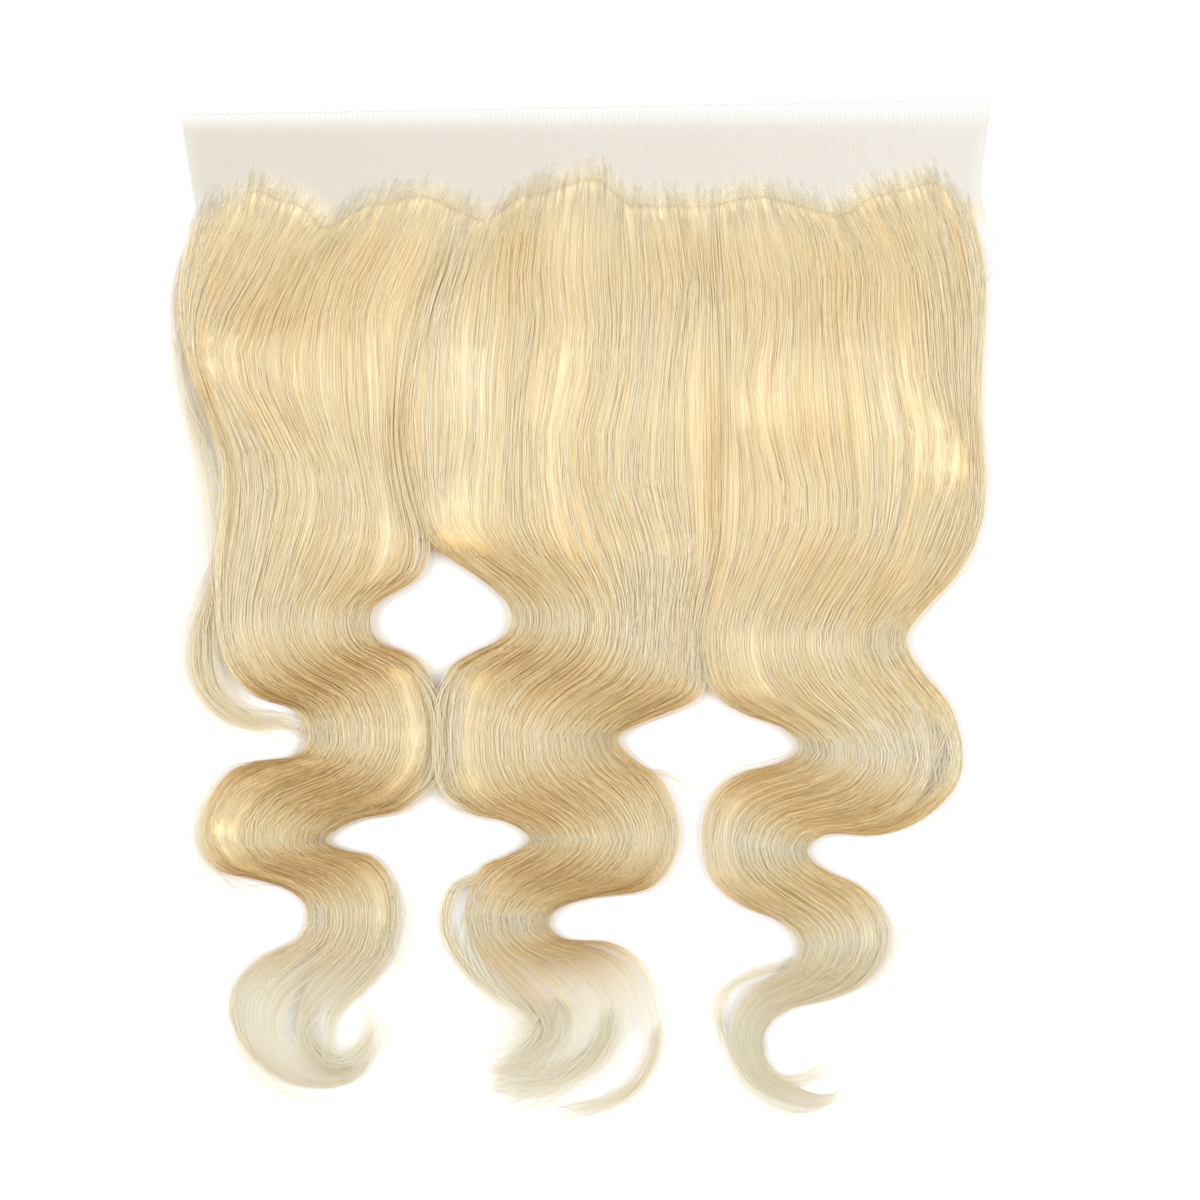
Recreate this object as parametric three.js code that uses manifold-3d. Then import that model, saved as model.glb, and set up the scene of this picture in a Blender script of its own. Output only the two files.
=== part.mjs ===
import * as THREE from 'three';
import { mergeVertices } from 'three/addons/utils/BufferGeometryUtils.js';
import Module from 'manifold-3d';

// Lace frontal laid flat on a table: a strip of lace with a fall of long wavy hair knotted into it.
// Millimetres. +X is to the right, +Y towards the bare front edge of the lace, +Z up from the table.
// The origin is the middle of the underside of the lace, which rests on the table.

// Driving sizes
const LACE_WIDTH = 340; // front edge of the lace, side to side
const FRONT_LACE = 38; // bare lace ahead of the hairline
const KNOTTED_DEPTH = 102; // lace behind the hairline, which carries the knots
const LACE_WALL = 1;
const HAIR_DROP = 380; // hairline to the lowest tip, as it lies
const HAIR_HEIGHT = 13; // thickest place of the fall, above its seat
const STRAND_WIDTH = 3; // loose strand that leaves a lock and joins it again
const STRAND_HEIGHT = 3;
const SLIT_WIDTH = 2.8; // see-through slit between two strands of a lock
const CLEARANCE = 0.3;

// Shares of the driving sizes
const GROOVE = 0.2; // depth of the grooves between a lock's strips, as a share of its height there
const SHOULDER = 0.3; // share of a lock's width over which its side slopes up
const FREE_LIP = 0.2; // height of a lock's free edge, as a share of its height there

// Fineness of the facets
const STEPS_PER_SECTION = 2;
const STEPS_PER_STRIP = 4;
const UNDERSIDE_POINTS = 7;

const LACE_DEPTH = FRONT_LACE + KNOTTED_DEPTH;
const HAIRLINE_Y = LACE_DEPTH / 2 - FRONT_LACE;
const SEAT = LACE_WALL + CLEARANCE;
const CUTTER_REACH = 2 * (SEAT + HAIR_HEIGHT);

const wasm = await Module();
wasm.setup();

function toSolid(geometry) {
  geometry.deleteAttribute('normal');
  geometry.deleteAttribute('uv');
  const merged = mergeVertices(geometry);
  return new wasm.Manifold(new wasm.Mesh({
    numProp: 3,
    vertProperties: merged.getAttribute('position').array,
    triVerts: Uint32Array.from(merged.getIndex().array),
  }));
}

function toPiece(name, solid, material) {
  const { vertProperties, triVerts } = solid.getMesh();
  const geometry = new THREE.BufferGeometry();
  geometry.setAttribute('position', new THREE.BufferAttribute(vertProperties, 3));
  geometry.setIndex(new THREE.BufferAttribute(triVerts, 1));
  geometry.computeVertexNormals();
  const piece = new THREE.Mesh(geometry, material);
  piece.name = name;
  return piece;
}

// Table whose rows are lists of numbers, under the names of its columns
function table(columns, rows) {
  return rows.map((row) => Object.fromEntries(columns.map((name, k) => [name, row[k]])));
}

// Lace panel
// Each row is a line across the lace. The sides are shares of LACE_WIDTH from the left end of the front
// edge. The places ahead of the hairline are shares of FRONT_LACE, and those behind it, with a minus,
// are shares of KNOTTED_DEPTH.
const LACE_LINES = table(['left', 'leftAhead', 'right', 'rightAhead'], [
  [0.0, 0.9, 1.0, 1.08],
  [0.007, 0.55, 0.992, 0.55],
  [0.015, 0.1, 0.986, 0.1],
  [0.021, -0.08, 0.991, -0.08],
  [0.025, -0.18, 1.007, -0.18],
  [0.031, -0.32, 1.0, -0.32],
  [0.038, -0.46, 0.975, -0.46],
  [0.056, -0.76, 0.962, -0.76],
  [0.075, -1.0, 0.95, -1.0],
]);
const LACE_EDGE_STEPS = 24;

function laceY(ahead) {
  return HAIRLINE_Y + ahead * (ahead > 0 ? FRONT_LACE : KNOTTED_DEPTH);
}

function lacePlate(grow, bottom, top) {
  const last = LACE_LINES.length - 1;
  const edge = (side, outwards) => new THREE.SplineCurve(LACE_LINES.map((line, row) => {
    const alongDepth = (row === 0) - (row === last);
    return new THREE.Vector2(
      (line[side] - 0.5) * LACE_WIDTH + outwards * grow,
      laceY(line[`${side}Ahead`]) + alongDepth * grow,
    );
  })).getPoints(LACE_EDGE_STEPS);
  const outline = new THREE.Shape([...edge('left', -1), ...edge('right', 1).reverse()]);
  const plate = new THREE.ExtrudeGeometry(outline, { depth: top - bottom, bevelEnabled: false });
  return toSolid(plate.translate(0, 0, bottom));
}

// Hairline
// The edge where the hair starts is scalloped. Its places are shares of LACE_WIDTH across and of
// HAIR_DROP down from the mean hairline.
const HAIRLINE = table(['across', 'down'], [
  [-0.05, 0.05],
  [0.02, 0.032],
  [0.05, 0.003],
  [0.1, -0.012],
  [0.14, 0.0],
  [0.19, 0.027],
  [0.24, 0.002],
  [0.3, -0.008],
  [0.38, 0.018],
  [0.43, -0.01],
  [0.51, -0.028],
  [0.56, 0.002],
  [0.64, 0.002],
  [0.71, -0.008],
  [0.8, 0.013],
  [0.86, -0.01],
  [0.92, -0.022],
  [0.965, 0.01],
  [1.05, 0.05],
]);
const SCALLOP_REACH = 0.07; // share of a lock's rows over which the scallops fade out

function hairlineDown(across) {
  const next = HAIRLINE.findIndex((row) => row.across > across);
  const from = HAIRLINE[next - 1];
  const to = HAIRLINE[next];
  const along = THREE.MathUtils.smoothstep(across, from.across, to.across);
  return THREE.MathUtils.lerp(from.down, to.down, along);
}

// Locks of hair
// Each row is a section, a line across the lock from its left edge to its right edge. The edges are
// shares of LACE_WIDTH across and of HAIR_DROP down. The height is a share of HAIR_HEIGHT, and the lips
// are shares of that height at the two edges, FREE_LIP where a row gives none.
const SECTION = ['leftAcross', 'leftDown', 'rightAcross', 'rightDown', 'height', 'leftLip', 'rightLip'];
const LEFT_LOCK = table(SECTION, [
  [0.021, 0.033, 0.338, 0.005, 0.1, 0.8, 1],
  [0.01, 0.08, 0.318, 0.07, 0.4, 0.3, 1],
  [0.011, 0.13, 0.299, 0.125, 0.65, 0.25, 0.9],
  [0.023, 0.185, 0.282, 0.195, 0.85, 0.2, 0.75],
  [0.045, 0.24, 0.276, 0.26, 0.95, 0.2, 0.55],
  [0.064, 0.295, 0.285, 0.32, 1, 0.2, 0.45],
  [0.062, 0.355, 0.303, 0.377, 0.95, 0.2, 0.3],
  [0.054, 0.4, 0.29, 0.418, 0.85],
  [0.055, 0.442, 0.241, 0.444, 0.9],
  [0.056, 0.478, 0.234, 0.472, 0.95],
  [0.073, 0.52, 0.249, 0.491, 0.85],
  [0.109, 0.547, 0.276, 0.5, 0.75],
  [0.152, 0.558, 0.304, 0.52, 0.8],
  [0.168, 0.589, 0.322, 0.583, 0.85],
  [0.152, 0.613, 0.31, 0.632, 0.75],
  [0.106, 0.619, 0.274, 0.668, 0.65],
  [0.061, 0.638, 0.219, 0.678, 0.65],
  [0.034, 0.69, 0.179, 0.701, 0.7],
  [0.057, 0.732, 0.201, 0.715, 0.6],
  [0.103, 0.744, 0.237, 0.722, 0.5],
  [0.15, 0.76, 0.262, 0.747, 0.5],
  [0.164, 0.785, 0.269, 0.788, 0.5],
  [0.152, 0.812, 0.259, 0.829, 0.4],
  [0.106, 0.831, 0.235, 0.859, 0.3],
  [0.074, 0.862, 0.207, 0.883, 0.27],
  [0.068, 0.892, 0.19, 0.903, 0.24],
  [0.08, 0.922, 0.189, 0.922, 0.2],
  [0.104, 0.948, 0.191, 0.936, 0.17],
  [0.148, 0.97, 0.197, 0.945, 0.14],
  [0.2, 0.971, 0.208, 0.951, 0.11],
  [0.229, 0.956, 0.22, 0.947, 0.09],
  [0.241, 0.932, 0.231, 0.929, 0.07],
  [0.244, 0.908, 0.239, 0.907, 0.05],
]);
const MIDDLE_LOCK = table(SECTION, [
  [0.338, 0.005, 0.653, 0.002, 0.1, 1, 1],
  [0.318, 0.07, 0.657, 0.07, 0.45, 1, 1],
  [0.299, 0.125, 0.661, 0.125, 0.7, 0.9, 0.9],
  [0.276, 0.224, 0.665, 0.224, 0.95, 0.65, 0.7],
  [0.283, 0.3, 0.665, 0.311, 1, 0.45, 0.5],
  [0.304, 0.376, 0.663, 0.376, 0.95, 0.3, 0.4],
  [0.359, 0.411, 0.652, 0.42, 0.85, 0.2, 0.4],
  [0.401, 0.442, 0.643, 0.45, 0.85, 0.2, 0.4],
  [0.408, 0.465, 0.639, 0.48, 0.85, 0.2, 0.3],
  [0.395, 0.485, 0.639, 0.513, 0.8, 0.2, 0.25],
  [0.353, 0.502, 0.634, 0.545, 0.75],
  [0.325, 0.523, 0.584, 0.566, 0.8],
  [0.319, 0.578, 0.532, 0.589, 0.85],
  [0.322, 0.643, 0.556, 0.618, 0.75],
  [0.353, 0.672, 0.585, 0.636, 0.65],
  [0.401, 0.682, 0.605, 0.668, 0.65],
  [0.432, 0.701, 0.609, 0.703, 0.65],
  [0.408, 0.718, 0.597, 0.734, 0.55],
  [0.375, 0.73, 0.566, 0.758, 0.5],
  [0.36, 0.752, 0.493, 0.766, 0.5],
  [0.352, 0.785, 0.453, 0.785, 0.5],
  [0.365, 0.82, 0.468, 0.812, 0.4],
  [0.395, 0.855, 0.529, 0.815, 0.35],
  [0.428, 0.889, 0.572, 0.843, 0.3],
  [0.44, 0.912, 0.59, 0.889, 0.24],
  [0.425, 0.928, 0.588, 0.932, 0.2],
  [0.397, 0.941, 0.56, 0.972, 0.16],
  [0.378, 0.955, 0.51, 0.995, 0.12],
  [0.372, 0.975, 0.462, 1.0, 0.06],
]);
const RIGHT_LOCK = table(SECTION, [
  [0.653, 0.002, 0.961, 0.013, 0.1, 1, 0.8],
  [0.657, 0.07, 0.98, 0.065, 0.45, 1, 0.3],
  [0.661, 0.125, 0.985, 0.12, 0.7, 0.9, 0.25],
  [0.665, 0.224, 0.978, 0.224, 0.95, 0.7, 0.2],
  [0.665, 0.311, 0.984, 0.322, 1, 0.55, 0.2],
  [0.663, 0.376, 0.973, 0.376, 1, 0.45, 0.2],
  [0.652, 0.42, 0.943, 0.42, 0.95, 0.45, 0.2],
  [0.641, 0.458, 0.899, 0.461, 0.9, 0.4, 0.2],
  [0.639, 0.496, 0.886, 0.49, 0.95, 0.3, 0.2],
  [0.651, 0.54, 0.912, 0.527, 0.85],
  [0.693, 0.566, 0.94, 0.557, 0.75],
  [0.742, 0.581, 0.951, 0.6, 0.8],
  [0.76, 0.603, 0.943, 0.643, 0.8],
  [0.736, 0.62, 0.9, 0.682, 0.7],
  [0.687, 0.631, 0.845, 0.697, 0.65],
  [0.653, 0.656, 0.791, 0.694, 0.65],
  [0.641, 0.698, 0.766, 0.714, 0.65],
  [0.651, 0.743, 0.787, 0.736, 0.55],
  [0.693, 0.775, 0.833, 0.754, 0.5],
  [0.738, 0.791, 0.86, 0.782, 0.5],
  [0.76, 0.818, 0.866, 0.815, 0.45],
  [0.742, 0.845, 0.843, 0.856, 0.35],
  [0.7, 0.862, 0.791, 0.878, 0.3],
  [0.679, 0.889, 0.738, 0.889, 0.25],
  [0.674, 0.921, 0.714, 0.921, 0.2],
  [0.693, 0.963, 0.727, 0.953, 0.15],
  [0.742, 0.991, 0.76, 0.974, 0.1],
  [0.791, 0.995, 0.797, 0.982, 0.08],
  [0.821, 0.976, 0.815, 0.969, 0.06],
]);

function planPoint(across, down) {
  return new THREE.Vector3((across - 0.5) * LACE_WIDTH, HAIRLINE_Y - down * HAIR_DROP, 0);
}

const evenShares = (count) => Array.from({ length: count }, (_, k) => k / (count - 1));

function smoothThrough(points) {
  return new THREE.CatmullRomCurve3(points, false, 'centripetal');
}

// Cross-section of a lock: sloping shoulders from lip to crown, with a groove between strips
function crownShare(u, strips, leftLip, rightLip) {
  const slope = (share) => Math.sin((Math.PI / 2) * Math.min(1, share / SHOULDER));
  const shoulders = (leftLip + (1 - leftLip) * slope(u)) * (rightLip + (1 - rightLip) * slope(1 - u));
  const groove = (0.5 + 0.5 * Math.cos(2 * Math.PI * strips * u)) ** 2;
  return shoulders * (1 - GROOVE * groove);
}

// Flat face that fills a section, from pairs of neighbours on its top and its underside
function sectionFace(topCount, underCount) {
  const underAt = (j) => topCount + underCount - 1 - j;
  const faces = [];
  let i = 0;
  let j = 0;
  while (i < topCount - 1 || j < underCount - 1) {
    const nextTop = (i + 1) / (topCount - 1);
    const nextUnder = (j + 1) / (underCount - 1);
    if (nextTop <= nextUnder) {
      faces.push([i, i + 1, underAt(j)]);
      i += 1;
    } else {
      faces.push([i, underAt(j + 1), underAt(j)]);
      j += 1;
    }
  }
  return faces;
}

// Closed body through sections, each with a top and an underside whose points run from left to right
function skin(sections) {
  const topCount = sections[0].top.length;
  const underCount = sections[0].under.length;
  const count = topCount + underCount;
  const rings = sections.map(({ top, under }) => [...top, ...under.toReversed()]);
  const faces = [];
  for (let ring = 0; ring < rings.length - 1; ring += 1) {
    for (let k = 0; k < count; k += 1) {
      const a = ring * count + k;
      const b = ring * count + (k + 1) % count;
      faces.push(a, a + count, b, b, a + count, b + count);
    }
  }
  const lastStart = (rings.length - 1) * count;
  sectionFace(topCount, underCount).forEach(([a, b, c]) => {
    faces.push(a, b, c);
    faces.push(lastStart + a, lastStart + c, lastStart + b);
  });
  const positions = rings.flat().flatMap((point) => point.toArray());
  const geometry = new THREE.BufferGeometry();
  geometry.setAttribute('position', new THREE.Float32BufferAttribute(positions, 3));
  geometry.setIndex(faces);
  return geometry;
}

// Lock through its sections. A grown one, with a level top, is the room that its neighbour leaves for it.
function lockBody(sections, strips, grow = 0) {
  const left = smoothThrough(sections.map((row) => planPoint(row.leftAcross, row.leftDown)));
  const right = smoothThrough(sections.map((row) => planPoint(row.rightAcross, row.rightDown)));
  const form = smoothThrough(sections.map((row) => new THREE.Vector3(
    row.height,
    row.leftLip ?? FREE_LIP,
    row.rightLip ?? FREE_LIP,
  )));
  const steps = (sections.length - 1) * STEPS_PER_SECTION;
  const topPoints = strips * STEPS_PER_STRIP + 1;
  const firstLine = [left.getPoint(0), right.getPoint(0)];
  const rings = [];
  for (let step = 0; step <= steps; step += 1) {
    const share = step / steps;
    const [from, to, shape] = [left, right, form].map((curve) => curve.getPoint(share));
    const outwards = to.clone().sub(from).normalize().multiplyScalar(grow);
    from.sub(outwards);
    to.add(outwards);
    const scallop = 1 - THREE.MathUtils.smoothstep(share, 0, SCALLOP_REACH);
    const onLine = (u, z) => {
      const point = from.clone().lerp(to, u);
      const start = firstLine[0].clone().lerp(firstLine[1], u);
      const startDown = hairlineDown(start.x / LACE_WIDTH + 0.5) * HAIR_DROP;
      point.y += scallop * (HAIRLINE_Y - startDown - start.y) + (step === 0) * grow;
      point.z = z;
      return point;
    };
    const crownZ = (u) => SEAT + HAIR_HEIGHT * shape.x * crownShare(u, strips, shape.y, shape.z);
    const top = evenShares(topPoints).map((u) => onLine(u, grow > 0 ? CUTTER_REACH : crownZ(u)));
    const under = evenShares(UNDERSIDE_POINTS).map((u) => onLine(u, grow > 0 ? -CUTTER_REACH : 0));
    rings.push({ top, under });
  }
  return toSolid(skin(rings));
}

// Loose strands and slits
// A strand leaves its lock and joins it again. A slit is an opening between two strands of a lock.
// Both follow a route of places, in shares of LACE_WIDTH across and HAIR_DROP down.
const LEFT_TENDRIL = table(['across', 'down'], [
  [0.075, 0.385],
  [0.048, 0.42],
  [0.031, 0.463],
  [0.025, 0.496],
  [0.031, 0.529],
  [0.05, 0.556],
  [0.08, 0.57],
  [0.134, 0.572],
  [0.19, 0.588],
]);
const MIDDLE_LOOP = table(['across', 'down'], [
  [0.42, 0.735],
  [0.375, 0.742],
  [0.34, 0.755],
  [0.327, 0.793],
  [0.345, 0.833],
  [0.39, 0.87],
  [0.45, 0.895],
]);
const LEFT_SLIT = table(['across', 'down'], [
  [0.15, 0.872],
  [0.141, 0.9],
  [0.146, 0.93],
]);
const MIDDLE_SLIT = table(['across', 'down'], [
  [0.556, 0.905],
  [0.549, 0.937],
  [0.526, 0.962],
  [0.497, 0.977],
]);
const RIGHT_SLIT = table(['across', 'down'], [
  [0.918, 0.578],
  [0.931, 0.6],
  [0.928, 0.627],
  [0.906, 0.655],
]);
const ROUTE_STEPS = 3;
const BAR_SHOULDER = 0.6; // height of a bar's side edges, as a share of its own height

// Bar along a route, with an arched top, from one level to another
function bar(route, width, bottom, top) {
  const path = smoothThrough(route.map((place) => planPoint(place.across, place.down)));
  const steps = (route.length - 1) * ROUTE_STEPS;
  const shoulder = THREE.MathUtils.lerp(bottom, top, BAR_SHOULDER);
  const sections = evenShares(steps + 1).map((share) => {
    const centre = path.getPoint(share);
    const ahead = path.getTangent(share);
    const side = new THREE.Vector3(-ahead.y, ahead.x, 0).multiplyScalar(width / 2);
    const at = (sideways, z) => centre.clone().addScaledVector(side, sideways).setZ(z);
    return {
      top: [at(-1, shoulder), at(-0.5, top), at(0.5, top), at(1, shoulder)],
      under: [at(-1, bottom), at(1, bottom)],
    };
  });
  return toSolid(skin(sections));
}

const strand = (route) => bar(route, STRAND_WIDTH, 0, SEAT + STRAND_HEIGHT);
const slit = (route) => bar(route, SLIT_WIDTH, -CUTTER_REACH, CUTTER_REACH);

// Assembly
const laceMaterial = new THREE.MeshStandardMaterial({ color: '#ebe5da', roughness: 0.85, metalness: 0 });
const hairMaterial = new THREE.MeshStandardMaterial({ color: '#e6cf9c', roughness: 0.45, metalness: 0 });

const LEFT_STRIPS = 5;
const MIDDLE_STRIPS = 6;
const RIGHT_STRIPS = 5;

const laceRoom = lacePlate(CLEARANCE, -CUTTER_REACH, SEAT);
const rightRoom = lockBody(RIGHT_LOCK, RIGHT_STRIPS, CLEARANCE);
const middleRoom = lockBody(MIDDLE_LOCK, MIDDLE_STRIPS, CLEARANCE);

const rightLock = lockBody(RIGHT_LOCK, RIGHT_STRIPS)
  .subtract(slit(RIGHT_SLIT))
  .subtract(laceRoom);
const middleLock = lockBody(MIDDLE_LOCK, MIDDLE_STRIPS)
  .add(strand(MIDDLE_LOOP))
  .subtract(slit(MIDDLE_SLIT))
  .subtract(rightRoom)
  .subtract(laceRoom);
const leftLock = lockBody(LEFT_LOCK, LEFT_STRIPS)
  .add(strand(LEFT_TENDRIL))
  .subtract(slit(LEFT_SLIT))
  .subtract(middleRoom)
  .subtract(laceRoom);

const group = new THREE.Group();
group.add(toPiece('lace_panel', lacePlate(0, 0, LACE_WALL), laceMaterial));
group.add(toPiece('left_lock', leftLock, hairMaterial));
group.add(toPiece('middle_lock', middleLock, hairMaterial));
group.add(toPiece('right_lock', rightLock, hairMaterial));

export default group;
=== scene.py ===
import math
import bpy
import numpy as np
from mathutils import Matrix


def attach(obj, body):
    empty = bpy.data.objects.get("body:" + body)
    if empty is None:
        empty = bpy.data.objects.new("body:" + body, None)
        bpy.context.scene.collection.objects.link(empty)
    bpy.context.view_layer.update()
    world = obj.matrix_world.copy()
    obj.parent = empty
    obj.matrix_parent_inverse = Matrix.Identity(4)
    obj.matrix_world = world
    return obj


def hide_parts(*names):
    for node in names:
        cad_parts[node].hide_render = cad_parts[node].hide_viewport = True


# A lace frontal laid flat on a table: a strip of lace with a fall of long wavy hair knotted into it.
# Metres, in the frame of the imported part. +Y is towards the bare front edge of the lace, +Z is up.
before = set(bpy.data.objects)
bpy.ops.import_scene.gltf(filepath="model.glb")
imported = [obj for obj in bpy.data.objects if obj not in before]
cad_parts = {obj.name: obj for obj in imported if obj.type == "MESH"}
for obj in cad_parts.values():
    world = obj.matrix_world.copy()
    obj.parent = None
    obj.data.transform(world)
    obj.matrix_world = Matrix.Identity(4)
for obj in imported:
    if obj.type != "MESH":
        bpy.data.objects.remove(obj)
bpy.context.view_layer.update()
bpy.ops.object.select_all(action="DESELECT")

# Lace panel
# A strip of sheer ivory net, cut by hand and left raw at its edges. It lies flat, in one layer, with
# its bare front strip ahead of the hairline, and its front edge lifts a little off the table.
LACE_WIDTH = 0.340
FRONT_LACE = 0.038
KNOTTED_DEPTH = 0.102
HAIRLINE_Y = 0.032
HAIR_DROP = 0.380
LACE_THICKNESS = 0.0004
LACE_LEVEL = 0.0004  # underside of the net above the table
LACE_RIPPLE = 0.00015
LACE_CELLS = (90, 38)
RAW_EDGE = 0.0016
FRONT_FADE = 0.014  # width of the front edge, where the net is thinnest and palest
SIDE_FADE = 0.005
KNOTS_AHEAD = 0.022  # the first knots lie ahead of the hairline by this share of HAIR_DROP
KNOTS_FADE = 0.045
# left edge, its place ahead of the hairline, right edge, its place ahead of the hairline
LACE_LINES = np.array([
    (0.0, 0.9, 1.0, 1.08),
    (0.007, 0.55, 0.992, 0.55),
    (0.015, 0.1, 0.986, 0.1),
    (0.021, -0.08, 0.991, -0.08),
    (0.025, -0.18, 1.007, -0.18),
    (0.031, -0.32, 1.0, -0.32),
    (0.038, -0.46, 0.975, -0.46),
    (0.056, -0.76, 0.962, -0.76),
    (0.075, -1.0, 0.95, -1.0),
])


def smooth_rows(rows, at):
    """Values of a table's columns at fractional row numbers, on a smooth curve through its rows."""
    at = np.clip(at, 0, len(rows) - 1)
    row = np.minimum(at.astype(int), len(rows) - 2)
    t = (at - row)[..., None]
    before = rows[np.maximum(row - 1, 0)]
    here = rows[row]
    after = rows[row + 1]
    beyond = rows[np.minimum(row + 2, len(rows) - 1)]
    bend = 2 * before - 5 * here + 4 * after - beyond
    twist = 3 * here - before - 3 * after + beyond
    return here + 0.5 * t * ((after - before) + t * (bend + t * twist))


# The hairline is scalloped: across, and down from its mean place
HAIRLINE = np.array([
    (-0.05, 0.05),
    (0.02, 0.032),
    (0.05, 0.003),
    (0.1, -0.012),
    (0.14, 0.0),
    (0.19, 0.027),
    (0.24, 0.002),
    (0.3, -0.008),
    (0.38, 0.018),
    (0.43, -0.01),
    (0.51, -0.028),
    (0.56, 0.002),
    (0.64, 0.002),
    (0.71, -0.008),
    (0.8, 0.013),
    (0.86, -0.01),
    (0.92, -0.022),
    (0.965, 0.01),
    (1.05, 0.05),
])


def soft_step(value):
    """Goes from 0 to 1 as a value does, without a corner at either end."""
    value = np.clip(value, 0, 1)
    return value * value * (3 - 2 * value)


def hairline_down(across):
    """How far the hairline lies down from its mean place, at shares across the lace."""
    after = np.clip(np.searchsorted(HAIRLINE[:, 0], across, side="right"), 1, len(HAIRLINE) - 1)
    start = HAIRLINE[after - 1]
    end = HAIRLINE[after]
    share = soft_step((across - start[..., 0]) / (end[..., 0] - start[..., 0]))
    return start[..., 1] + (end[..., 1] - start[..., 1]) * share


bpy.ops.mesh.primitive_grid_add(x_subdivisions=LACE_CELLS[0], y_subdivisions=LACE_CELLS[1], size=1)
lace = bpy.context.object
lace.name = "lace"
flat_net = np.empty((len(lace.data.vertices), 3))
lace.data.vertices.foreach_get("co", flat_net.ravel())
across_net = flat_net[:, 0] + 0.5
lines = smooth_rows(LACE_LINES, (0.5 - flat_net[:, 1]) * (len(LACE_LINES) - 1))
ahead = lines[:, 1] + (lines[:, 3] - lines[:, 1]) * across_net
net = np.empty_like(flat_net)
net[:, 0] = (lines[:, 0] + (lines[:, 2] - lines[:, 0]) * across_net - 0.5) * LACE_WIDTH
net[:, 1] = HAIRLINE_Y + ahead * np.where(ahead > 0, FRONT_LACE, KNOTTED_DEPTH)
net[:, 2] = LACE_LEVEL + LACE_RIPPLE * (1 + np.sin(net[:, 0] * 95) * np.sin(net[:, 1] * 140 + 1))
lace.data.vertices.foreach_set("co", net.ravel())
from_side = np.minimum(across_net, 1 - across_net) * LACE_WIDTH
from_front = (0.5 - flat_net[:, 1]) * (FRONT_LACE + KNOTTED_DEPTH)
inside = lace.data.attributes.new("inside", "FLOAT", "POINT")
inside.data.foreach_set("value", np.clip(np.minimum(from_side, from_front) / RAW_EDGE, 0, 1))
behind = (HAIRLINE_Y - net[:, 1]) / HAIR_DROP - hairline_down(across_net)
# the wavy edge at the right, behind the hairline, carries no hair
ear_flap = soft_step((across_net - 0.955) / 0.02) * soft_step(behind / 0.02)
thin_edge = 1 - soft_step(np.minimum(from_side / SIDE_FADE, from_front / FRONT_FADE))
paler = lace.data.attributes.new("paler", "FLOAT", "POINT")
paler.data.foreach_set("value", np.clip(0.9 * thin_edge + 0.28 * across_net + 0.6 * ear_flap, 0, 1))
knotted = lace.data.attributes.new("knotted", "FLOAT", "POINT")
knotted.data.foreach_set("value", soft_step((behind + KNOTS_AHEAD) / KNOTS_FADE) * (1 - ear_flap))

thicken = lace.modifiers.new("net thickness", "SOLIDIFY")
thicken.thickness = LACE_THICKNESS
thicken.offset = 1
bpy.ops.object.modifier_apply(modifier=thicken.name)
bpy.ops.object.shade_smooth_by_angle(angle=math.radians(40))
lace.select_set(False)

LACE_THREAD = (0.61, 0.56, 0.48)
LACE_HOLE = (0.73, 0.69, 0.62)
THIN_NET = (0.90, 0.89, 0.86)
KNOT_COLOUR = (0.93, 0.80, 0.52)
LACE_PITCH = 0.0011

lace_finish = bpy.data.materials.new("ivory net")
lace_finish.use_nodes = True
nodes = lace_finish.node_tree.nodes
links = lace_finish.node_tree.links
shader = nodes["Principled BSDF"]
shader.inputs["Roughness"].default_value = 0.8
place = nodes.new("ShaderNodeTexCoord")
total = None
for turn in (0, 60, 120):
    # threads of the net run three ways, at 60 degrees
    way = nodes.new("ShaderNodeVectorMath")
    way.operation = "DOT_PRODUCT"
    way.inputs[1].default_value = (math.cos(math.radians(turn)), math.sin(math.radians(turn)), 0)
    links.new(place.outputs["Object"], way.inputs[0])
    beat = nodes.new("ShaderNodeMath")
    beat.operation = "MULTIPLY"
    beat.inputs[1].default_value = 2 * math.pi / LACE_PITCH
    links.new(way.outputs["Value"], beat.inputs[0])
    wave = nodes.new("ShaderNodeMath")
    wave.operation = "COSINE"
    links.new(beat.outputs[0], wave.inputs[0])
    if total is None:
        total = wave
    else:
        add = nodes.new("ShaderNodeMath")
        add.operation = "ADD"
        links.new(total.outputs[0], add.inputs[0])
        links.new(wave.outputs[0], add.inputs[1])
        total = add
thread = nodes.new("ShaderNodeMapRange")
thread.inputs["From Min"].default_value = 1.2
thread.inputs["From Max"].default_value = -0.6
links.new(total.outputs[0], thread.inputs["Value"])
colour = nodes.new("ShaderNodeMix")
colour.data_type = "RGBA"
colour.inputs["A"].default_value = (*LACE_HOLE, 1)
colour.inputs["B"].default_value = (*LACE_THREAD, 1)
links.new(thread.outputs["Result"], colour.inputs["Factor"])
worn_thin = nodes.new("ShaderNodeAttribute")
worn_thin.attribute_name = "paler"
with_edge = nodes.new("ShaderNodeMix")
with_edge.data_type = "RGBA"
with_edge.inputs["B"].default_value = (*THIN_NET, 1)
links.new(worn_thin.outputs["Fac"], with_edge.inputs["Factor"])
links.new(colour.outputs["Result"], with_edge.inputs["A"])
roots = nodes.new("ShaderNodeAttribute")
roots.attribute_name = "knotted"
with_knots = nodes.new("ShaderNodeMix")
with_knots.data_type = "RGBA"
with_knots.inputs["B"].default_value = (*KNOT_COLOUR, 1)
links.new(roots.outputs["Fac"], with_knots.inputs["Factor"])
links.new(with_edge.outputs["Result"], with_knots.inputs["A"])
links.new(with_knots.outputs["Result"], shader.inputs["Base Color"])
from_edge = nodes.new("ShaderNodeAttribute")
from_edge.attribute_name = "inside"
cover = nodes.new("ShaderNodeMapRange")
cover.inputs["To Min"].default_value = 0.75
cover.inputs["To Max"].default_value = 1.0
links.new(thread.outputs["Result"], cover.inputs["Value"])
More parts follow.
